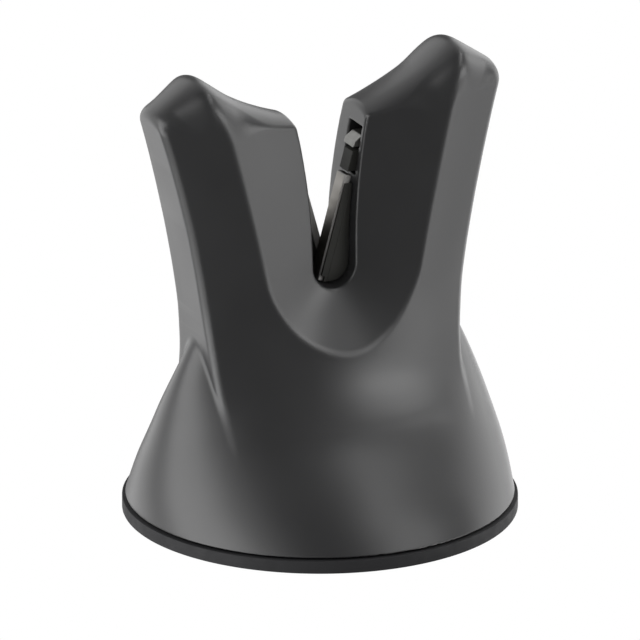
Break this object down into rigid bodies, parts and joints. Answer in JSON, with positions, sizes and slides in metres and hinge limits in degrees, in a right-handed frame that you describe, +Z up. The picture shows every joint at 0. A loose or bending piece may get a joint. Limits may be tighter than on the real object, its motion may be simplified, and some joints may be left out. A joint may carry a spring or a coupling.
{
  "type": "pull-through knife sharpener",
  "caption": "Free-standing V-slot knife sharpener with crossed cutters on a round suction base, locked to the table by a lever at the back.",
  "frame": {"origin": "middle of the round base, on the surface that it stands on", "axes": "+Z up, front towards -Y, the arms and the cutters side by side along X, the lever at the back towards +Y"},
  "size_m": [0.064, 0.064, 0.076],
  "materials": {
    "shell_plastic": "satin moulded charcoal plastic with a very fine texture",
    "inner_plastic": "dark glass-filled plastic",
    "rubber": "soft black rubber",
    "steel": "bright zinc-plated steel",
    "hard_metal": "ground sintered carbide"
  },
  "bodies": {
    "body": {"body_shell": "shell_plastic", "base_plate": "inner_plastic", "base_screw_front": "steel", "base_screw_left": "steel", "base_screw_right": "steel", "mechanism_bridge": "inner_plastic", "bridge_screw_left": "steel", "bridge_screw_right": "steel", "thrust_washer": "steel", "suction_pad": "rubber", "return_spring": "steel", "left_cutter": "hard_metal", "right_cutter": "hard_metal", "left_cutter_holder": "inner_plastic", "right_cutter_holder": "inner_plastic", "left_wedge": "steel", "right_wedge": "steel"},
    "lever": {"lock_lever": "inner_plastic", "lever_grip": "inner_plastic"},
    "plunger": {"pad_stud": "steel", "cross_pin": "steel", "spring_seat": "steel"}
  },
  "joints": [
    {"name": "lever_turn", "type": "hinge", "parent": "body", "child": "lever", "pos_m": [0, 0, 0.0104], "axis": [0, 0, 1], "range_deg": [0, 80]},
    {"name": "pad_lift", "type": "slide", "parent": "body", "child": "plunger", "axis": [0, 0, 1], "range_m": [-0.0025, 0], "deforming": ["suction_pad", "return_spring"]}
  ],
  "couplings": [
    {"joint": "pad_lift", "follows": "lever_turn", "m_per_rad": -0.00179}
  ]
}
